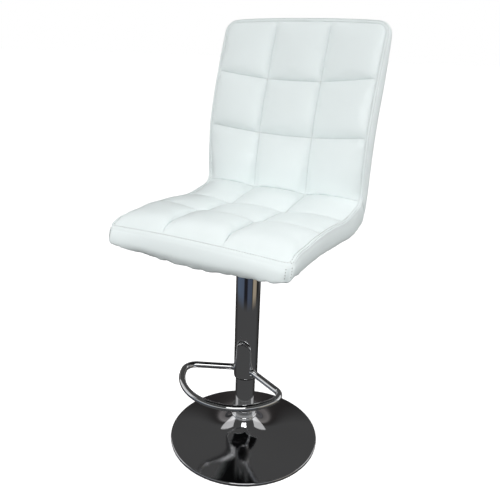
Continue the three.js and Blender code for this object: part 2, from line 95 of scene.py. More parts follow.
# The base cover's profile: a shallow cone with a flare that fades away from the neck.
DISH = {"neck": 0.0305, "rim": 0.008, "slope": 0.150, "flare": 0.0325, "fade": 0.022, "sheet": 0.0018}
SLEEVE_WALL = 0.0016
COLUMN_WALL = 0.0018
# The footrest in plan: two arms that leave the sleeve, round corners and a bow about its own centre.
FOOTREST = {"tube": 0.008, "start": 0.029, "arm": 25, "corner": 0.030, "bow": 0.135, "bow_centre": -0.045}
WELD = {"end": 0.0082, "swell": 0.0026, "start": -0.0015, "length": 0.0065}
# The release lever in side view: (x, z) where its rod turns, and its pivot barrel.
LEVER_BENDS = [(0.008, 0.556), (-0.034, 0.556), (-0.100, 0.536), (-0.168, 0.531), (-0.192, 0.5295)]
LEVER = {"rod": 0.004, "pivot_x": -0.024, "pivot_z": 0.556, "barrel": 0.006, "barrel_half": 0.015}
KNOB = {"radius": 0.0072, "start": -0.138, "length": 0.062, "height": 0.5313, "flat": 0.82, "wide": 1.2}

WHITE = (0.80, 0.862, 0.860)


# ---- small tools ----
def spline(points, t):
    """The point at t on a uniform Catmull-Rom curve through the points."""
    last = len(points) - 1
    i = min(max(int(math.floor(t)), 0), last - 1)
    f = t - i
    p1, p2 = points[i], points[i + 1]
    p0 = points[i - 1] if i > 0 else [2 * a - b for a, b in zip(p1, p2)]
    p3 = points[i + 2] if i + 2 <= last else [2 * b - a for a, b in zip(p1, p2)]
    return [
        0.5 * (2 * b + (c - a) * f + (2 * a - 5 * b + 4 * c - d) * f**2 + (3 * b - a - 3 * c + d) * f**3)
        for a, b, c, d in zip(p0, p1, p2, p3)
    ]


def smooth(a, b, x):
    t = min(max((x - a) / (b - a), 0), 1)
    return t * t * (3 - 2 * t)


def piece(name, verts, faces, material, body="carriage", slot=None, stands_for=(), shaded=True):
    mesh = bpy.data.meshes.new(name)
    mesh.from_pydata([tuple(v) for v in verts], [], faces)
    mesh.validate()
    obj = bpy.data.objects.new(name, mesh)
    bpy.context.collection.objects.link(obj)
    mesh.materials.append(material)
    if shaded:
        mesh.shade_smooth()
    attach(obj, body)
    if stands_for:
        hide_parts(*stands_for)
    return obj


def grid_faces(rows, columns, closed_rows=False, closed_columns=False):
    faces = []
    for i in range(rows if closed_rows else rows - 1):
        for j in range(columns if closed_columns else columns - 1):
            i2, j2 = (i + 1) % rows, (j + 1) % columns
            faces.append((i * columns + j, i2 * columns + j, i2 * columns + j2, i * columns + j2))
    return faces


def rounded(corners, radius, steps=4):
    """A closed outline with its corners rounded."""
    out = []
    count = len(corners)
    for i, corner in enumerate(corners):
        p = Vector(corner)
        before, after = Vector(corners[i - 1]) - p, Vector(corners[(i + 1) % count]) - p
        r = min(radius, before.length * 0.45, after.length * 0.45)
        a, b = p + before.normalized() * r, p + after.normalized() * r
        for k in range(steps + 1):
            t = k / steps
            out.append(tuple(a * (1 - t) ** 2 + p * 2 * t * (1 - t) + b * t * t))
    return out


def turned(name, outline, material, body, slot, stands_for=(), segments=160):
    """A ring turned about the Z axis from a closed outline of (radius, height)."""
    verts = []
    for i in range(segments):
        a = 2 * math.pi * i / segments
        verts += [(r * math.cos(a), r * math.sin(a), z) for r, z in outline]
    faces = grid_faces(segments, len(outline), True, True)
    area = sum(a[0] * b[1] - b[0] * a[1] for a, b in zip(outline, outline[1:] + outline[:1]))
    if area < 0:
        faces = [f[::-1] for f in faces]
    return piece(name, verts, faces, material, body, slot, stands_for)


def swept(name, path, radii, material, body, slot, stands_for=(), sides=32, up=Vector((0, 0, 1))):
    """A round bar with domed ends along a path that turns mostly about one direction."""
    path = [Vector(p) for p in path]
    verts = []
    for i, p in enumerate(path):
        along = (path[min(i + 1, len(path) - 1)] - path[max(i - 1, 0)]).normalized()
        side = along.cross(up).normalized()
        top = side.cross(along)
        r = radii(i / (len(path) - 1)) if callable(radii) else radii
        verts += [
            p + (side * math.cos(2 * math.pi * k / sides) + top * math.sin(2 * math.pi * k / sides)) * r
            for k in range(sides)
        ]
    faces = [f[::-1] for f in grid_faces(len(path), sides, False, True)]
    faces.append(tuple(range(sides)))
    faces.append(tuple(range(len(verts) - sides, len(verts)))[::-1])
    return piece(name, verts, faces, material, body, slot, stands_for)


# ---- materials ----
def new_material(name):
    m = bpy.data.materials.new(name)
    m.use_nodes = True
    tree = m.node_tree
    return m, tree, tree.nodes["Principled BSDF"]


def node(tree, kind, inputs=None, **settings):
    n = tree.nodes.new(kind)
    for k, v in settings.items():
        setattr(n, k, v)
    for k, v in (inputs or {}).items():
        if isinstance(v, bpy.types.NodeSocket):
            tree.links.new(v, n.inputs[k])
        else:
            n.inputs[k].default_value = v
    return n


def place(tree, stretch=(1, 1, 1)):
    """The object's own coordinates, in metres."""
    coordinates = node(tree, "ShaderNodeTexCoord").outputs["Object"]
    return node(tree, "ShaderNodeMapping", {"Vector": coordinates, "Scale": stretch}).outputs["Vector"]


def noise_at(tree, scale, detail=3.0, stretch=(1, 1, 1), roughness=0.5):
    inputs = {"Vector": place(tree, stretch), "Scale": scale, "Detail": detail, "Roughness": roughness}
    return node(tree, "ShaderNodeTexNoise", inputs).outputs["Fac"]


def ramp(tree, value, stops):
    n = node(tree, "ShaderNodeValToRGB", {"Fac": value})
    while len(n.color_ramp.elements) < len(stops):
        n.color_ramp.elements.new(0.5)
    for element, (at, color) in zip(n.color_ramp.elements, stops):
        element.position = at
        element.color = (*color, 1) if len(color) == 3 else color
    return n.outputs["Color"]


def mix(tree, factor, first, second, blend="MIX"):
    """One colour over another by a factor. The second may be a constant."""
    n = node(tree, "ShaderNodeMix", data_type="RGBA", blend_type=blend)
    tree.links.new(factor, n.inputs[0])
    tree.links.new(first, n.inputs[6])
    if isinstance(second, bpy.types.NodeSocket):
        tree.links.new(second, n.inputs[7])
    else:
        n.inputs[7].default_value = (*second, 1)
    return n.outputs[2]


def span(tree, value, low, high, to_low, to_high):
    inputs = {"Value": value, "From Min": low, "From Max": high, "To Min": to_low, "To Max": to_high}
    return node(tree, "ShaderNodeMapRange", inputs).outputs["Result"]


def bump(tree, height, strength, distance, normal=None):
    inputs = {"Height": height, "Strength": strength, "Distance": distance}
    if normal:
        inputs["Normal"] = normal
    return node(tree, "ShaderNodeBump", inputs).outputs["Normal"]


def leather():
    """Coated leatherette: a fine pebble grain over faint pull marks, and painted shade that darkens its
    seams and creases.
    """
    m, tree, shader = new_material("white_leatherette")
    pebble = node(
        tree, "ShaderNodeTexVoronoi", {"Vector": place(tree), "Scale": 900.0}, feature="SMOOTH_F1"
    ).outputs["Distance"]
    pulled = noise_at(tree, 38.0, 4.0)
    cloudy = noise_at(tree, 9.0, 2.0)
    base = ramp(tree, cloudy, [(0.3, tuple(c * 0.975 for c in WHITE)), (0.7, WHITE)])
    # Painted shade: the seam attribute mixes the leather towards grey along seams and creases.
    seam_shade = node(tree, "ShaderNodeAttribute", attribute_name="seam").outputs["Fac"]
    tree.links.new(mix(tree, seam_shade, base, (0.44, 0.50, 0.50)), shader.inputs["Base Color"])
    tree.links.new(span(tree, pulled, 0.3, 0.7, 0.36, 0.50), shader.inputs["Roughness"])
    wide = bump(tree, pulled, 0.10, 0.004)
    tree.links.new(bump(tree, pebble, 0.16, 0.0006, wide), shader.inputs["Normal"])
    shader.inputs["Specular IOR Level"].default_value = 0.42
    shader.inputs["Coat Weight"].default_value = 0.06
    shader.inputs["Coat Roughness"].default_value = 0.35
    return m


def chrome(name, tint=(0.68, 0.685, 0.69), gloss=(0.02, 0.09), scratched=0.0):
    """Bright plate with smudges in its gloss, and fine scratches where feet reach it."""
    m, tree, shader = new_material(name)
    smudge = noise_at(tree, 22.0, 5.0)
    film = noise_at(tree, 4.0, 2.0)
    tree.links.new(span(tree, smudge, 0.40, 0.85, *gloss), shader.inputs["Roughness"])
    filmed = tuple(c * 0.93 for c in tint)
    tree.links.new(ramp(tree, film, [(0.3, filmed), (0.7, tint)]), shader.inputs["Base Color"])
    shader.inputs["Metallic"].default_value = 1
    waves = bump(tree, noise_at(tree, 14.0, 1.0), 0.05, 0.002)
    if scratched:
        fine = noise_at(tree, 160.0, 6.0, (1, 14, 1), 0.7)
        other = noise_at(tree, 190.0, 6.0, (11, 1, 1), 0.7)
        both = node(tree, "ShaderNodeMath", {0: fine, 1: other}, operation="MULTIPLY").outputs[0]
        waves = bump(tree, both, scratched, 0.0004, waves)
    tree.links.new(waves, shader.inputs["Normal"])
    return m


def plain(name, color, roughness, metallic=0.0, grain=400.0, depth=0.0003, strength=0.3):
    """Paint, plastic, rubber or plain steel with a grain of its own."""
    m, tree, shader = new_material(name)
    speckle = noise_at(tree, grain, 4.0)
    worn = noise_at(tree, 25.0, 4.0)
    low = tuple(c * 0.8 for c in color)
    tree.links.new(ramp(tree, worn, [(0.3, low), (0.7, color)]), shader.inputs["Base Color"])
    rough = span(tree, speckle, 0.3, 0.7, roughness * 0.85, min(1.0, roughness * 1.15))
    tree.links.new(rough, shader.inputs["Roughness"])
    shader.inputs["Metallic"].default_value = metallic
    tree.links.new(bump(tree, speckle, strength, depth), shader.inputs["Normal"])
    return m


def lining_cloth():
    """Spun-bonded black lining: a small embossed lattice."""
    m, tree, shader = new_material("black_lining")
    dots = node(
        tree, "ShaderNodeTexVoronoi", {"Vector": place(tree), "Scale": 420.0, "Randomness": 0.15}
    ).outputs["Distance"]
    fibres = noise_at(tree, 900.0, 5.0)
    tree.links.new(
        ramp(tree, fibres, [(0.3, (0.012, 0.012, 0.013)), (0.8, (0.05, 0.05, 0.054))]),
        shader.inputs["Base Color"],
    )
    shader.inputs["Roughness"].default_value = 0.95
    tree.links.new(bump(tree, dots, 0.5, 0.0006), shader.inputs["Normal"])
    return m


LEATHER = leather()
THREAD = plain("white_thread", (0.92, 0.96, 0.95), 0.7, grain=2500.0)
# Painted shade: the dark colour of the discs at the needle holes.
HOLE_SHADE = plain("needle_hole_shade", (0.09, 0.10, 0.10), 0.9, grain=2500.0)
CHROME = chrome("chrome_tube")
CHROME_BASE = chrome("chrome_base", (0.60, 0.60, 0.61), (0.012, 0.05), 0.10)
STEEL = plain("plain_steel", (0.45, 0.46, 0.47), 0.38, 1.0, 900.0, 0.0001)
BLACK_STEEL = plain("black_paint", (0.022, 0.022, 0.024), 0.42, 0.0, 700.0, 0.0001)
PLASTIC = plain("black_plastic", (0.018, 0.018, 0.019), 0.5, 0.0, 1500.0, 0.0001)
RUBBER = plain("black_rubber", (0.014, 0.014, 0.014), 0.85, 0.0, 600.0, 0.0002)
PLYWOOD = plain("birch_plywood", (0.50, 0.34, 0.19), 0.7, 0.0, 120.0, 0.0003)
LINING = lining_cloth()


# ---- upholstery: the surface that the covers are cut to ----
def across(x):
    """0 at the side seams and 1 at the lengthwise channels."""
    return max(0.0, 1 - (x / HALF) ** 2) / (1 - (CHANNEL / HALF) ** 2)


def on_face(x, v):
    """A point of the sewn face, without its pads: x across, v along the path."""
    (y, z), (by, bz) = spline(FACE, 2 * v), spline(BOW, v)
    w = across(x)
    nose = NOSE * math.sin(math.pi * min(1, max(0, 2 * v)) ** 0.75) ** 2
    return Vector((x, y + by * w, z + bz * w + nose))


def on_rear(x, v):
    (y, z), (by, bz) = spline(REAR, 2 * v), spline(REAR_BOW, v)
    w = across(x)
    return Vector((x, y + by * w, z + bz * w))


def along_path(surface, x, v):
    """The path's direction and its length per row at a point."""
    step = 0.01
    d = (surface(x, v + step) - surface(x, v - step)) / (2 * step)
    return d.normalized(), d.length


def outward(surface, x, v):
    """The normal on the sitter's side."""
    t, _ = along_path(surface, x, v)
    return Vector((0, -t.z, t.y)).normalized()


def round_corner(x, v, surface=on_face):
    """Moves a point of the straight-sided sheet so that the sheet's corners are round."""
    for edge, radius in ((0, FRONT_ROUND), (ROWS, TOP_ROUND)):
        _, length = along_path(surface, HALF, abs(edge - 0.05))
        a = (abs(x) - (HALF - radius)) / radius
        b = 1 - abs(v - edge) * length / radius
        if a > 0 and b > 0:
            a2 = a * math.sqrt(max(0, 1 - b * b / 2))
            b2 = b * math.sqrt(max(0, 1 - a * a / 2))
            x = math.copysign(HALF - radius + a2 * radius, x)
            v = edge + (1 if edge == 0 else -1) * (1 - b2) * radius / length
    return x, v


def pad_samples(lines):
    """Places between neighbouring lines, closer together near them, with their local -1..1 value."""
    out = []
    for k, (low, high) in enumerate(zip(lines, lines[1:])):
        for i in range(PAD_STEPS):
            a = math.sin(math.pi / 2 * (2 * i / PAD_STEPS - 1))
            out.append((low + (high - low) * (a + 1) / 2, a, k))
    out.append((lines[-1], 1.0, len(lines) - 2))
    return out


def pad_height(a, b, row):
    """The pads meet their seams steeply, and only the front edge softly."""
    soft = 0.9 if row == 0 and b < 0 else 0.5
    return PAD_RISE[row] * (1 - abs(a) ** 3.0) ** 0.5 * (1 - abs(b) ** 3.0) ** soft


def seam_rise(a, b, column, row):
    """How far the net of seams carries the cover up at local place (a, b) of a pad."""
    left, right = (0 if column == 0 else 1), (0 if column == 2 else 1)
    lines = LINE_RISE[row] * (1 - b) / 2 + LINE_RISE[row + 1] * (1 + b) / 2
    channels = CHANNEL_RISE[row] * (left * (1 - a) / 2 + right * (1 + a) / 2)
    return lines * (1 - a * a) + channels * (1 - b * b)


def on_seam(x, v):
    """A point of a row line or of a lengthwise channel, with its rise."""
    row = min(int(v), ROWS - 1)
    column = 0 if x < -CHANNEL else 2 if x > CHANNEL else 1
    low, high = [(-HALF, -CHANNEL), (-CHANNEL, CHANNEL), (CHANNEL, HALF)][column]
    a, b = 2 * (x - low) / (high - low) - 1, 2 * (v - row) - 1
    n = outward(on_face, x, v)
    return on_face(x, v) + n * seam_rise(a, b, column, row), n


def inflate(obj, pins):
    """Blows the sheet up as cloth held at its seams, and keeps each point near its place."""
    start = [v.co.copy() for v in obj.data.vertices]
    group = obj.vertex_groups.new(name="seams")
    group.add(pins, 1.0, "REPLACE")
    cloth = obj.modifiers.new("Cloth", "CLOTH")
    settings = cloth.settings
    settings.quality = 5
    settings.mass = 0.3
    settings.tension_stiffness = 25
    settings.compression_stiffness = 18
    settings.shear_stiffness = 12
    settings.bending_stiffness = 3.0
    settings.vertex_group_mass = "seams"
    settings.use_pressure = True
    settings.uniform_pressure_force = INFLATION["pressure"]
    settings.shrink_min = -0.02
    settings.effector_weights.gravity = 0
    cloth.point_cache.frame_start = 1
    cloth.point_cache.frame_end = INFLATION["frames"]
    scene = bpy.context.scene
    for number in range(1, INFLATION["frames"] + 1):
        scene.frame_set(number)
    graph = bpy.context.evaluated_depsgraph_get()
    blown = [v.co.copy() for v in obj.evaluated_get(graph).data.vertices]
    obj.modifiers.remove(cloth)
    for vertex, old, new in zip(obj.data.vertices, start, blown):
        move = new - old
        if move.length > INFLATION["cap"]:
            move *= INFLATION["cap"] / move.length
        vertex.co = old + move
    obj.vertex_groups.remove(group)
    scene.frame_set(1)


def paint_seam_shade(obj, values):
    # Stores the painted seam shade as a point attribute that the leather reads.
    attribute = obj.data.attributes.new("seam", "FLOAT", "POINT")
    attribute.data.foreach_set("value", values)


def subdivide(obj, levels):
    modifier = obj.modifiers.new("Subdivision", "SUBSURF")
    modifier.levels = modifier.render_levels = levels


def quilted_face():
    columns = pad_samples([-HALF, -CHANNEL, CHANNEL, HALF])
    rows = pad_samples(list(range(ROWS + 1)))
    verts, seam, pins = [], [], []
    for v, b, row in rows:
        for x, a, column in columns:
            x2, v2 = round_corner(x, v)
            lift = pad_height(a, b, row) + seam_rise(a, b, column, row)
            n = outward(on_face, x2, v2)
            verts.append(on_face(x2, v2) + n * lift)
            # Painted shade: the channels and row lines get a darker seam value, and the outer edge gets
            # none.
            near = max(abs(a), abs(b))
            on_edge = abs(x) > HALF - 0.001 or v < 0.001 or v > ROWS - 0.001
            seam.append(smooth(0.985, 1.0, near) * (0.0 if on_edge else 0.30))
            if near > 0.999:
                pins.append(len(verts) - 1)
    faces = grid_faces(len(rows), len(columns))
    faces = [f[::-1] for f in faces]
    hidden = ("quilted_panel", "foam_seat", "foam_back", "shell_board")
    obj = piece("quilted_face", verts, faces, LEATHER, "carriage", "white_leather", hidden)
    inflate(obj, pins)
    paint_seam_shade(obj, seam)
    subdivide(obj, 1)


# The edge of the cover in section, from under the pads, over the flat sewn strip, down the band
# and round under the rear edge: (outwards, above the face, share of the way to the rear edge).
STRIP = [
    (-0.0040, -0.0036, 0), (-0.0022, -0.0018, 0), (-0.0008, -0.0004, 0), (0.0004, 0.0005, 0),
    (0.0020, 0.0009, 0), (0.0048, 0.0009, 0), (0.0072, 0.0006, 0), (0.0086, -0.0002, 0),
    (0.0093, -0.0014, 0), (0.0094, -0.0028, 0.02), (0.0094, -0.0032, 0.05),
]
BAND = [
    (0.0098, -0.0026, 0.10), (0.0103, -0.0014, 0.20), (0.0107, 0, 0.34), (0.0108, 0, 0.48),
    (0.0105, 0, 0.62), (0.0098, 0, 0.76), (0.0087, 0, 0.89), (0.0064, 0, 0.985), (0.0020, 0, 1.05),
    (-0.0045, 0, 1.075), (-0.0115, 0, 1.06), (-0.0210, 0, 0.99),
]


# At the front there is no ledge: the cover rolls over the edge.
FRONT_STRIP = [
    (-0.0040, -0.0036), (-0.0022, -0.0018), (-0.0008, -0.0004), (0.0004, 0.0004), (0.0020, 0.0006),
    (0.0044, 0.0001), (0.0062, -0.0010), (0.0076, -0.0025), (0.0086, -0.0040), (0.0092, -0.0046),
    (0.0095, -0.0041),
]


def edge_stations():
    """Places round the sheet's edge: (x, v, outward share across, outward share along the path)."""
    out = []

    def side(sign):
        _, front = along_path(on_face, HALF, 0.05)
        _, top = along_path(on_face, HALF, ROWS - 0.05)
        low, high = FRONT_ROUND / front, ROWS - TOP_ROUND / top
        places = [low + (high - low) * i / 240 for i in range(241)]
        places += [FOLD + k * 0.008 for k in range(-6, 7) if k]
        return [(sign * HALF, v, sign, 0.0) for v in sorted(places)]

    def corner(sign, edge, radius):
        _, length = along_path(on_face, HALF, abs(edge - 0.05))
        turn = -1 if edge == 0 else 1
        stations = []
        for i in range(1, 10):
            a = math.pi / 2 * i / 10
            x = sign * (HALF - radius + radius * math.cos(a))
            v = edge - turn * (1 - math.sin(a)) * radius / length
            stations.append((x, v, sign * math.cos(a), turn * math.sin(a)))
        return stations

    def end(edge, radius):
        turn = -1 if edge == 0 else 1
        reach = HALF - radius
        return [(reach - 2 * reach * i / 110, edge, 0.0, turn) for i in range(111)]

    out += side(1)
    out += corner(1, ROWS, TOP_ROUND)
    out += end(ROWS, TOP_ROUND)
    out += corner(-1, ROWS, TOP_ROUND)[::-1]
    out += side(-1)[::-1]
    out += corner(-1, 0, FRONT_ROUND)
    out += [(-x, v, ox, ot) for x, v, ox, ot in end(0, FRONT_ROUND)]
    out += corner(1, 0, FRONT_ROUND)[::-1]
    return out


def edge_frame(station):
    """The face point, outward direction, normal and the way to the rear edge at a station."""
    x, v, ox, ot = station
    p = on_face(x, v)
    t, _ = along_path(on_face, x, v)
    n = outward(on_face, x, v)
    out = (Vector((ox, 0, 0)) + t * ot).normalized()
    return p, out, n, on_rear(x, v) - p


def creases(station):
    """How much of a cross seam lies at a station: the mitre at the fold and the front corners."""
    _, v, ox, ot = station
    fold = math.exp(-(((v - FOLD) * 0.12 / 0.0016) ** 2)) if abs(ox) > 0.99 else 0
    corner = math.exp(-(((abs(ot) - 0.72) / 0.16) ** 2)) if v < 0.5 and abs(ox) > 0.02 else 0
    return fold, corner


def edge_band():
    stations = edge_stations()
    section = STRIP + BAND
    verts, seam = [], []
    for station in stations:
        p, out, n, down = edge_frame(station)
        x, v, ox, ot = station
        fold, corner = creases(station)
        facing_front = max(0, -ot)
        for k, (a, b, c) in enumerate(section):
            if k < len(FRONT_STRIP):
                a += (FRONT_STRIP[k][0] - a) * facing_front
                b += (FRONT_STRIP[k][1] - b) * facing_front
            q = p + out * a + n * b + down * c
            on_band = smooth(0.03, 0.15, c)
            tucked = smooth(0.80, 1.0, c)
            # Folds that run out from the junction and from the front corners.
            near_fold = math.exp(-(((v - FOLD + 0.25) / 0.35) ** 2)) * abs(ox)
            near_front = math.exp(-((v / 0.22) ** 2)) * smooth(0.08, 0.2, abs(x))
            folds = noise.noise(Vector((x * 9, q.y * 55 + q.z * 12, q.z * 30)))
            q += out * folds * 0.0022 * on_band * (near_fold + 0.8 * near_front)
            q += out * noise.noise(Vector((x * 14, q.y * 14, q.z * 14 + 7))) * 0.0010 * on_band
            # The front band rolls under early, and its stapled lower edge is lumpy.
            front = 1 - smooth(0.1, 0.6, v)
            inner = 1 - smooth(0.10, 0.19, abs(x))
            q -= out * 0.0085 * front * smooth(0.62, 1.0, c) * facing_front * inner
            lumps = noise.noise(Vector((x * 48, q.y * 48, 3.0))) + 0.6 * noise.noise(q * 120)
            q += down.normalized() * lumps * (0.0008 + 0.0026 * front) * tucked
            q -= out * (0.0016 * fold * smooth(0.0, 0.08, c) + 0.0010 * corner * on_band)
            verts.append(q)
            # Painted shade: the seam values darken the grooves beside the strip, the mitre at the fold
            # and the front corner seams.
            groove = 0.12 * (1 - facing_front) if k in (1, 9) else 0.0
            seam.append(min(1.0, groove + 0.9 * fold * on_band + 0.35 * corner * on_band))
    faces = grid_faces(len(stations), len(section), True)
    hidden = ("front_band", "seat_band_left", "seat_band_right", "back_band")
    obj = piece("edge_band", verts, faces, LEATHER, "carriage", "white_leather", hidden)
    paint_seam_shade(obj, seam)
    subdivide(obj, 1)


def sheet_patch(surface, v0, v1, inset, swell, drop):
    """A sheet over part of a surface, drawn in at the sides, lowered by drop, swelling in the middle."""
    nx, nv = 60, 90
    verts = []
    for i in range(nv + 1):
        v = v0 + (v1 - v0) * i / nv
        for j in range(nx + 1):
            a = 2 * j / nx - 1
            x, v2 = round_corner(a * HALF, v, surface)
            x *= (HALF - inset) / HALF
            b = 2 * i / nv - 1
            lift = swell * ((1 - a**4) * (1 - b**4)) ** 0.8 + drop
            verts.append(surface(x, v2) - outward(surface, x, v2) * lift)
    return verts, grid_faces(nv + 1, nx + 1)


def rear_panel():
    verts, faces = sheet_patch(on_rear, FOLD + 0.03, ROWS - 0.02, inset=0.004, swell=0.0045, drop=0.0012)
    for i, q in enumerate(verts):
        verts[i] = q + Vector((0, 1, 0)) * 0.0008 * noise.noise(q * 11)
    obj = piece("rear_panel", verts, faces, LEATHER, "carriage", "white_leather", ("rear_cover",))
    thick = obj.modifiers.new("Thickness", "SOLIDIFY")
    thick.thickness = 0.0012


def under_cover():
    verts, faces = sheet_patch(on_rear, 0.09, FOLD - 0.06, inset=0.008, swell=0.0, drop=0.0022)
    for i, q in enumerate(verts):
        verts[i] = q + Vector((0, 0, 1)) * 0.0012 * noise.noise(q * 16)
    obj = piece("under_cover", verts, faces, LINING, "carriage", "lining", ("dust_cover",))
    thick = obj.modifiers.new("Thickness", "SOLIDIFY")
    thick.thickness = 0.0008


def lining_hems():
    """The turned edge of the lining, which shows as a thin dark line under each side band."""
    for name, sign in (("lining_hem_left", 1), ("lining_hem_right", -1)):
        line = []
        for i in range(121):
            v = 0.12 + 2.6 * i / 120
            p, out, _, down = edge_frame((sign * HALF, v, sign, 0.0))
            line.append(p - out * 0.0035 + down * 1.07)
        swept(name, line, 0.0022, LINING, "carriage", "lining", (), 12)


# ---- stitches ----
def stitch_row(points, normals):
    """Where each stitch lies along a line of close points: (centre, direction, normal)."""
    places = []
    travelled, due = 0.0, 0.0
    for i in range(len(points) - 1):
        a, b = points[i], points[i + 1]
        length = (b - a).length
        while length > 0 and travelled + length >= due:
            t = (due - travelled) / length
            places.append((a.lerp(b, t), (b - a).normalized(), normals[i]))
            due += STITCH["pitch"]
        travelled += length
    return places


def sew(name, places):
    """Rounded thread bumps, and a dark disc of painted shade for the needle hole between one stitch and
    the next.
    """
    half, r = STITCH["length"] / 2, STITCH["radius"]
    shapes = [(-half, 0.25, -0.9), (-half * 0.6, 0.95, 0.0), (half * 0.6, 0.95, 0.0), (half, 0.25, -0.9)]
    stitch = [(step, r * wide, r * sunk) for step, wide, sunk in shapes]
    step, wide = STITCH["pitch"] / 2, STITCH["hole"]
    # The needle hole is a flat dark disc of painted shade on the surface, not a recess.
    hole = [(step - wide, wide * 0.3, 0), (step, wide, 0), (step + wide, wide * 0.3, 0)]
    thread, hole_shades = ([], []), ([], [])
    for centre, along, normal in places:
        add_bead(centre, along, normal, stitch, *thread)
        add_bead(centre, along, normal, hole, *hole_shades, flat=0.6)
    piece(name, *thread, THREAD, "carriage", "white_leather")
    piece(name + "_holes", *hole_shades, HOLE_SHADE, "carriage", "white_leather")


def add_bead(centre, along, normal, rings, verts, faces, flat=1.0):
    """A closed bead of six-sided rings: (distance along, radius, height)."""
    side = along.cross(normal).normalized()
    top = side.cross(along).normalized()
    base = len(verts)
    for step, radius, lift in rings:
        for k in range(6):
            a = 2 * math.pi * k / 6
            outer = side * (radius * math.cos(a)) + top * (radius * flat * math.sin(a) + lift)
            verts.append(centre + along * step + outer)
    for ring_number in range(len(rings) - 1):
        for k in range(6):
            i, j = base + ring_number * 6 + k, base + ring_number * 6 + (k + 1) % 6
            faces.append((i, j, j + 6, i + 6))
    last = base + (len(rings) - 1) * 6
    faces.append(tuple(base + k for k in range(6))[::-1])
    faces.append(tuple(last + k for k in range(6)))


def edge_stitches():
    """One row all round beside the pads, and one along the strip's outer edge except at the front."""
    stations = edge_stations()
    places = []
    for a, b, row in (
        (0.0018, 0.0009, stations + stations[:1]),
        (0.0074, 0.0006, [s for s in stations if s[3] > -0.5]),
    ):
        frames = [edge_frame(s) for s in row]
        points = [p + out * a + n * b for p, out, n, _ in frames]
        normals = [(n + out * (a / 0.012)).normalized() for _, out, n, _ in frames]
        places += stitch_row(points, normals)
    sew("edge_stitches", places)


def corner_stitches():
    """The upright seam of each front corner has a row of stitches on both sides."""
    places = []
    stations = edge_stations()
    for sign in (1, -1):
        for share in (0.40, 0.92):
            near = [s for s in stations if s[1] < 0.5 and s[0] * sign > 0 and abs(s[2]) > 0.01]
            station = min(near, key=lambda s: abs(abs(s[3]) - share))
            p, out, _, down = edge_frame(station)
            points, normals = [], []
            for i in range(19):
                c = 0.12 + 0.50 * i / 18
                points.append(p + out * (0.0096 + 0.0012 * math.sin(math.pi * c)) + down * c)
                normals.append(out)
            places += stitch_row(points, normals)
    sew("corner_stitches", places)


def channel_stitches():
    places = []
    lines = [[(x, 0.06 + (ROWS - 0.12) * i / 700) for i in range(701)] for x in (-CHANNEL, CHANNEL)]
    lines += [[(HALF * 0.985 * (2 * i / 220 - 1), v) for i in range(221)] for v in range(1, ROWS)]
    for line in lines:
        seam = [on_seam(x, v) for x, v in line]
        places += stitch_row([p + n * 0.0003 for p, n in seam], [n for _, n in seam])
    sew("channel_stitches", places)


def staples():
    """Wire staples that hold the lining, round its edge."""
    verts, faces = [], []
    stations = [s for s in edge_stations() if s[1] < FOLD - 0.1][::9]
    for station in stations:
        p, out, n, down = edge_frame(station)
        centre = p + down * 1.0 - out * 0.021 - n * 0.0030
        along = out.cross(n).normalized()
        add_box(centre, along * 0.005, out * 0.0004, n * 0.0003, verts, faces)
    piece("staples", verts, faces, STEEL, "carriage", "steel", shaded=False)


def add_box(centre, a, b, c, verts, faces):
    base = len(verts)
    for i in (-1, 1):
        for j in (-1, 1):
            for k in (-1, 1):
                verts.append(centre + a * i + b * j + c * k)
    for f in ((0, 1, 3, 2), (4, 6, 7, 5), (0, 4, 5, 1), (2, 3, 7, 6), (0, 2, 6, 4), (1, 5, 7, 3)):
        faces.append(tuple(base + q for q in f))


# ---- column, base and footrest ----
def node_size(name):
    """A round node's radius, its foot and its top."""
    low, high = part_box(name)
    return high[0], low[2], high[2]


def base():
    radius, low, neck_top = node_size("base_dish")
    turn = 0.003  # radius of the rolled rim
    edge = radius - turn
    top, under = [], []
    count = 70
    for i in range(count + 1):
        r = DISH["neck"] + (edge - DISH["neck"]) * (i / count) ** 1.5
        rise = DISH["flare"] * math.exp((DISH["neck"] - r) / DISH["fade"])
        z = DISH["rim"] + DISH["slope"] * (radius - r) + rise
        steep = DISH["slope"] + rise / DISH["fade"]
        k = DISH["sheet"] / math.hypot(1, steep)
        top.append((r, z))
        under.append((r - steep * k, z - k))
    shoulder = top[-1][1] - turn
    rim = [(edge + turn * math.sin(a), shoulder + turn * math.cos(a)) for a in (0.35, 0.8, 1.2, 1.57)]
    rim += [(radius, low + 0.0008), (radius - 0.0006, low), (radius - 0.0016, low)]
    rim += [(radius - 0.002, shoulder)]
    outline = [(DISH["neck"], neck_top)] + top + rim + under[::-1] + [(under[0][0], neck_top)]
    turned("base_cover", outline, CHROME_BASE, "base", "chrome", ("base_dish",), 256)


def ring(name, corners, softness, material, body, slot, stands_for, segments=128):
    return turned(name, rounded(corners, softness), material, body, slot, stands_for, segments)


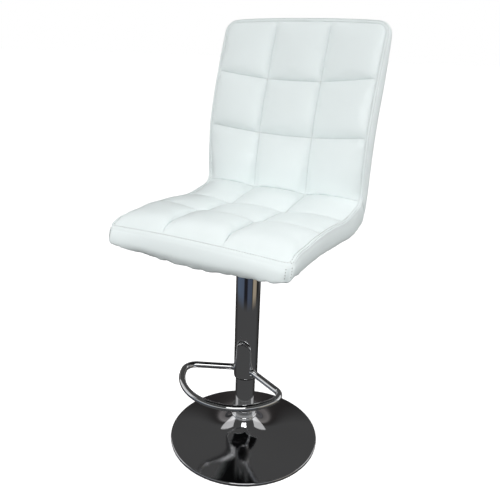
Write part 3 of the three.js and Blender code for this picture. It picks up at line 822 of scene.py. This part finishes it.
def column():
    radius, low, high = node_size("column_tube")
    inner = radius - COLUMN_WALL
    corners = [(inner, low), (radius - 0.0006, low), (radius, 0.066), (radius, high), (inner, high)]
    ring("lower_column", corners, 0.0006, CHROME, "base", "chrome", ("column_tube",))

    wide, low, high = node_size("column_collar")
    bore = radius + 0.0003
    corners = [
        (bore, low), (wide, low), (wide, low + 0.004), (wide - 0.0018, low + 0.006),
        (wide - 0.0018, high - 0.006), (wide, high - 0.004), (wide, high - 0.001), (wide - 0.002, high),
        (bore, high),
    ]
    ring("collar", corners, 0.0012, CHROME, "base", "chrome", ("column_collar",))

    wide, low, high = node_size("sleeve_tube")
    inner = wide - SLEEVE_WALL
    corners = [
        (inner - 0.0012, low + 0.0002), (wide - 0.0010, low), (wide, low + 0.0014), (wide, high),
        (inner, high), (inner, low + 0.004),
    ]
    ring("outer_sleeve", corners, 0.0012, CHROME, "carriage", "chrome", ("sleeve_tube",))

    wide, low, high = node_size("sleeve_top_disc")
    bore = 0.0143
    corners = [(bore, low), (wide, low), (wide, high), (bore, high)]
    ring("sleeve_top", corners, 0.001, CHROME, "carriage", "chrome", ("sleeve_top_disc",))


def footrest_path():
    """Half of the centreline in plan: an arm, a round corner and the front bow."""
    height = (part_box("footrest_loop")[0][2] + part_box("footrest_loop")[1][2]) / 2
    bow, centre_y, corner = FOOTREST["bow"], FOOTREST["bow_centre"], FOOTREST["corner"]
    start, arm = FOOTREST["start"], math.radians(FOOTREST["arm"])
    along = Vector((math.cos(arm), -math.sin(arm)))
    offset = Vector((-math.sin(arm), -math.cos(arm))) * corner
    q = offset - Vector((0, centre_y))
    b = q.dot(along)
    run = -b + math.sqrt(b * b - q.length_squared + (bow - corner) ** 2)
    centre = along * run + offset
    bend = math.atan2(centre.y - centre_y, centre.x)
    half = [along * (start + (run - start) * i / 12) for i in range(12)]
    first = math.pi / 2 - arm
    half += [
        centre + Vector((math.cos(a), math.sin(a))) * corner
        for a in (first + (bend - first) * i / 24 for i in range(25))
    ]
    half += [
        Vector((bow * math.cos(a), centre_y + bow * math.sin(a)))
        for a in (bend + (-math.pi / 2 - bend) * i / 50 for i in range(1, 51))
    ]
    left = [Vector((-p.x, p.y)) for p in half[:-1]][::-1]
    return [(p.x, p.y, height) for p in half + left]


def weld_width(t):
    """The bead is widest where it meets the sleeve."""
    return WELD["end"] + WELD["swell"] * (1 - t) ** 1.6


def footrest():
    path = footrest_path()
    swept("footrest", path, FOOTREST["tube"], CHROME, "carriage", "chrome", ("footrest_loop",))
    for name, start, toward in (("weld_left", path[0], path[1]), ("weld_right", path[-1], path[-2])):
        a = Vector(start)
        step = (Vector(toward) - a).normalized()
        beads = [a + step * (WELD["start"] + WELD["length"] * i / 8) for i in range(9)]
        swept(name, beads, weld_width, CHROME, "carriage", "chrome")


def knob_width(t):
    end = max(0, (t - 0.86) / 0.14)
    return KNOB["radius"] * math.sqrt(max(0.02, 1 - end**2)) * (0.86 + 0.14 * smooth(0, 0.15, t))


def lever():
    path = [Vector((p[0], 0, p[1])) for p in (spline(LEVER_BENDS, 4 * i / 60) for i in range(61))]
    sideways = Vector((0, 1, 0))
    swept("lever_bar", path, LEVER["rod"], CHROME, "lever", "chrome", ("lever_rod",), 24, sideways)
    half = LEVER["barrel_half"]
    barrel = [Vector((LEVER["pivot_x"], -half + 2 * half * i / 12, LEVER["pivot_z"])) for i in range(13)]
    swept("lever_barrel", barrel, LEVER["barrel"], CHROME, "lever", "chrome", (), 28)
    middle = KNOB["height"]
    path = [Vector((KNOB["start"] - KNOB["length"] * i / 40, 0, middle)) for i in range(41)]
    grip = swept("lever_knob", path, knob_width, PLASTIC, "lever", "black_plastic", ("lever_grip",), 28)
    for vertex in grip.data.vertices:
        vertex.co.z = middle + (vertex.co.z - middle) * KNOB["flat"]
        vertex.co.y *= KNOB["wide"]


def finish_cad_nodes():
    """The hard pieces that keep their CAD shape get soft edges and a material each."""
    # The foam lies under the quilted face, so its look is never seen.
    looks = {
        "chrome": CHROME, "steel": STEEL, "black_steel": BLACK_STEEL, "black_plastic": PLASTIC,
        "black_rubber": RUBBER, "plywood": PLYWOOD, "white_leather": LEATHER, "lining": LINING,
        "foam": PLYWOOD,
    }
    slots = {s["node"]: s["material_slot"] for s in frame["record"]["subparts"]}
    for name, obj in frame["nodes"].items():
        obj.data.materials.clear()
        obj.data.materials.append(looks[slots[name]])
        bevel = obj.modifiers.new("Soft edges", "BEVEL")
        bevel.width = 0.0003
        bevel.segments = 2
        bevel.limit_method = "ANGLE"
        bevel.angle_limit = math.radians(40)
        bevel.harden_normals = False


# ---- stage ----
def camera():
    turn, down, roll = (math.radians(d) for d in (CAMERA_AZIMUTH, CAMERA_DOWN, CAMERA_ROLL))
    ahead = Vector((-math.sin(turn), math.cos(turn), 0))
    forward = ahead * math.cos(down) + Vector((0, 0, -math.sin(down)))
    level = Vector((math.cos(turn), math.sin(turn), 0))
    up = level.cross(forward)
    right = level * math.cos(roll) + up * math.sin(roll)
    top = up * math.cos(roll) - level * math.sin(roll)
    data = bpy.data.cameras.new("Camera")
    data.lens = LENS
    data.sensor_width = 36
    obj = bpy.data.objects.new("Camera", data)
    bpy.context.collection.objects.link(obj)
    rows = [(right[i], top[i], -forward[i]) for i in range(3)]
    obj.matrix_world = Matrix.Translation(CAMERA_PLACE) @ Matrix(rows).to_4x4()
    bpy.context.scene.camera = obj


def area_light(name, place_at, look_at, size, power, lights=True, mirrored=True):
    data = bpy.data.lights.new(name, "AREA")
    data.shape = "RECTANGLE"
    data.size, data.size_y = size
    data.energy = power
    obj = bpy.data.objects.new(name, data)
    obj.location = place_at
    obj.rotation_euler = (Vector(look_at) - Vector(place_at)).to_track_quat("-Z", "Y").to_euler()
    obj.visible_diffuse = lights
    obj.visible_glossy = mirrored
    bpy.context.collection.objects.link(obj)


def floor_sheet(name, height, color, glow):
    m, _, shader = new_material(name)
    shader.inputs["Base Color"].default_value = (*color, 1)
    shader.inputs["Roughness"].default_value = 0.9
    shader.inputs["Specular IOR Level"].default_value = 0.1
    shader.inputs["Emission Color"].default_value = (1, 1, 1, 1)
    shader.inputs["Emission Strength"].default_value = glow
    mesh = bpy.data.meshes.new(name)
    reach = 80
    corners = [(x * reach, y * reach, height) for x, y in ((-1, -1), (1, -1), (1, 1), (-1, 1))]
    mesh.from_pydata(corners, [], [(0, 1, 2, 3)])
    mesh.materials.append(m)
    obj = bpy.data.objects.new(name, mesh)
    bpy.context.collection.objects.link(obj)
    obj.visible_glossy = False
    return obj


def floor():
    """The pale floor that is seen, and a dimmer one that the underside is lit by."""
    floor_sheet("floor", 0, (0.88, 0.88, 0.88), 0.52).visible_diffuse = False
    floor_sheet("floor_bounce", -0.002, (0.16, 0.165, 0.165), 0).visible_camera = False


def studio_light(tree, height):
    """The even white that lights the object: brighter from above."""
    sky = ramp(tree, height, [(0.48, (0.42, 0.42, 0.42)), (0.75, (0.72, 0.72, 0.72)), (1.0, (1, 1, 1))])
    return node(tree, "ShaderNodeBackground", {"Color": sky, "Strength": 0.84})


def mirrored_room(tree, direction, height):
    """What polished metal sees: a grey floor, pale walls, a dark ceiling and furniture near the floor."""
    room = ramp(tree, height, [
        (0.00, (0.085, 0.085, 0.086)), (0.36, (0.085, 0.085, 0.087)), (0.455, (0.13, 0.13, 0.135)),
        (0.485, (0.50, 0.51, 0.51)), (0.60, (0.72, 0.73, 0.73)), (0.65, (0.15, 0.15, 0.15)),
        (0.70, (0.085, 0.085, 0.085)), (1.00, (0.085, 0.085, 0.085)),
    ])
    around = node(
        tree, "ShaderNodeTexGradient", {"Vector": direction}, gradient_type="RADIAL"
    ).outputs["Fac"]
    furniture = ramp(tree, around, [
        (0.00, (0.08, 0.08, 0.09)), (0.04, (0.11, 0.15, 0.22)), (0.21, (0.10, 0.13, 0.19)),
        (0.24, (0.02, 0.02, 0.025)), (0.30, (0.02, 0.02, 0.025)), (0.33, (0.08, 0.10, 0.15)),
        (0.42, (0.07, 0.09, 0.13)), (0.44, (0.03, 0.03, 0.03)), (0.46, (0.44, 0.37, 0.27)),
        (0.54, (0.40, 0.34, 0.26)), (0.565, (0.02, 0.02, 0.02)), (0.62, (0.03, 0.03, 0.03)),
        (0.67, (0.12, 0.12, 0.12)), (0.80, (0.10, 0.10, 0.11)), (0.92, (0.03, 0.03, 0.03)),
        (1.00, (0.08, 0.08, 0.09)),
    ])
    far_side = ramp(tree, around, [
        (0.00, (0.62, 0.60, 0.60)), (0.06, (1, 1, 1)), (0.58, (1, 1, 1)), (0.68, (0.40, 0.38, 0.37)),
        (0.83, (0.22, 0.20, 0.20)), (0.97, (0.45, 0.43, 0.43)), (1.00, (0.62, 0.60, 0.60)),
    ])
    below_ceiling = ramp(tree, height, [(0.68, (1, 1, 1)), (0.74, (0, 0, 0))])
    shaded = mix(tree, below_ceiling, room, far_side, "MULTIPLY")
    near_floor = ramp(tree, height, [
        (0.305, (0, 0, 0)), (0.325, (1, 1, 1)), (0.44, (1, 1, 1)), (0.475, (0, 0, 0)),
    ])
    seen = mix(tree, near_floor, shaded, furniture)
    return node(tree, "ShaderNodeBackground", {"Color": seen, "Strength": 1.0})


def world():
    """A white studio with a white backdrop, which polished metal sees as a dim room."""
    w = bpy.data.worlds.new("Studio")
    bpy.context.scene.world = w
    w.use_nodes = True
    tree = w.node_tree
    tree.nodes.clear()
    direction = node(tree, "ShaderNodeTexCoord").outputs["Generated"]
    upward = node(tree, "ShaderNodeSeparateXYZ", {"Vector": direction}).outputs["Z"]
    height = span(tree, upward, -1, 1, 0, 1)
    light, reflected = studio_light(tree, height), mirrored_room(tree, direction, height)
    backdrop = node(tree, "ShaderNodeBackground", {"Color": (1, 1, 1, 1), "Strength": 1.0})
    path = node(tree, "ShaderNodeLightPath")
    mixed = node(tree, "ShaderNodeMixShader", {0: path.outputs["Is Glossy Ray"]})
    tree.links.new(light.outputs[0], mixed.inputs[1])
    tree.links.new(reflected.outputs[0], mixed.inputs[2])
    final = node(tree, "ShaderNodeMixShader", {0: path.outputs["Is Camera Ray"]})
    tree.links.new(mixed.outputs[0], final.inputs[1])
    tree.links.new(backdrop.outputs[0], final.inputs[2])
    output = node(tree, "ShaderNodeOutputWorld")
    tree.links.new(final.outputs[0], output.inputs["Surface"])


def studio():
    camera()
    floor()
    world()
    area_light("key", (0.1, -2.5, 1.65), (0, 0, 0.7), (1.4, 1.0), 37, mirrored=False)
    area_light("fill", (2.3, 0.4, 1.3), (0, 0, 0.7), (1.4, 1.8), 26, mirrored=False)
    area_light("left_panel", (-2.6, -0.5, 1.0), (0, 0, 0.1), (2.4, 2.2), 11, lights=False)
    area_light("right_panel", (2.0, 1.9, 1.0), (0, 0, 0.1), (2.4, 2.2), 11, lights=False)
    area_light("strobe", (0.8, -1.5, 1.5), (0, 0, 0.1), (1.1, 0.6), 8, lights=False)
    view = bpy.context.scene.view_settings
    view.view_transform = "Standard"
    view.look = "None"


finish_cad_nodes()
base()
column()
footrest()
lever()
quilted_face()
edge_band()
rear_panel()
under_cover()
lining_hems()
edge_stitches()
corner_stitches()
channel_stitches()
staples()
studio()
